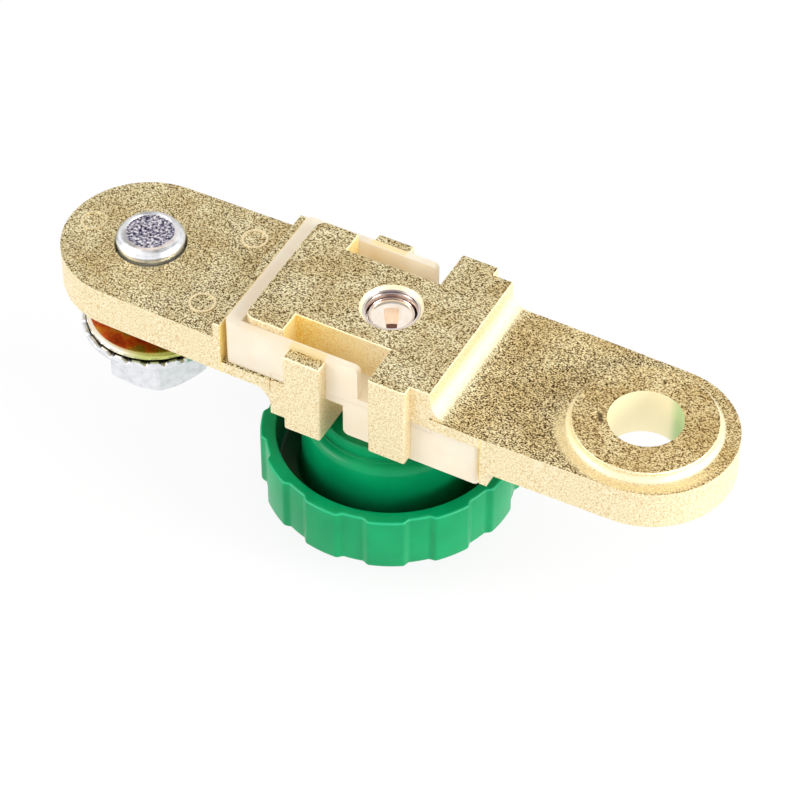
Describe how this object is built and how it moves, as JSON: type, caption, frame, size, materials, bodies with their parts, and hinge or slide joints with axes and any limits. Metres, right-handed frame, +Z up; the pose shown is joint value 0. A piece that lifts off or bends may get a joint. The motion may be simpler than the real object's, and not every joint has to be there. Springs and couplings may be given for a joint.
{
  "type": "battery terminal disconnect switch",
  "caption": "Side-terminal battery disconnect: two interlocking metal arms kept apart by plastic trays, a fluted clamping knob below and a flanged terminal bolt with a dished washer.",
  "frame": {"origin": "on the knob's axis, in the plane that the knob's flat underside rests on", "axes": "+Z up along the clamp stud, +X along the arms towards the end with the raised terminal boss on top, +Y to the back"},
  "size_m": [0.0988, 0.0356, 0.0314],
  "materials": {
    "casting_metal": "rough as-cast surface with a fine dark grain",
    "tray_plastic": "milky translucent moulded nylon",
    "bush_plastic": "milky moulded nylon",
    "insert_steel": "bright turned steel",
    "stud_steel": "copper-coloured plating on steel",
    "disc_brass": "turned brass",
    "knob_plastic": "green moulded plastic, semi-gloss",
    "bolt_zinc": "bright zinc plating",
    "washer_zinc": "yellow zinc plating"
  },
  "bodies": {
    "switch_body": {"upper_contact_casting": "casting_metal", "lower_contact_casting": "casting_metal", "upper_insulator_tray": "tray_plastic", "lower_insulator_tray": "tray_plastic", "threaded_insert": "insert_steel", "insulating_bush": "bush_plastic"},
    "disc": {"contact_disc": "disc_brass"},
    "knob": {"hand_knob": "knob_plastic", "clamp_stud": "stud_steel"},
    "washer": {"dished_washer": "washer_zinc"},
    "bolt": {"terminal_bolt": "bolt_zinc"}
  },
  "joints": [
    {"name": "knob_travel", "type": "slide", "parent": "switch_body", "child": "disc", "axis": [0, 0, -1], "range_m": [0, 0.005]},
    {"name": "knob_turn", "type": "hinge", "parent": "disc", "child": "knob", "pos_m": [0, 0, 0], "axis": [0, 0, -1], "range_deg": [0, 1440]},
    {"name": "bolt_slide", "type": "slide", "parent": "switch_body", "child": "washer", "axis": [0, 0, 1], "range_m": [-0.0045, 0.0035]},
    {"name": "bolt_turn", "type": "hinge", "parent": "washer", "child": "bolt", "pos_m": [-0.037, 0, 0], "axis": [0, 0, 1], "continuous": true}
  ],
  "couplings": [
    {"joint": "knob_travel", "follows": "knob_turn", "m_per_rad": 0.00019894}
  ]
}
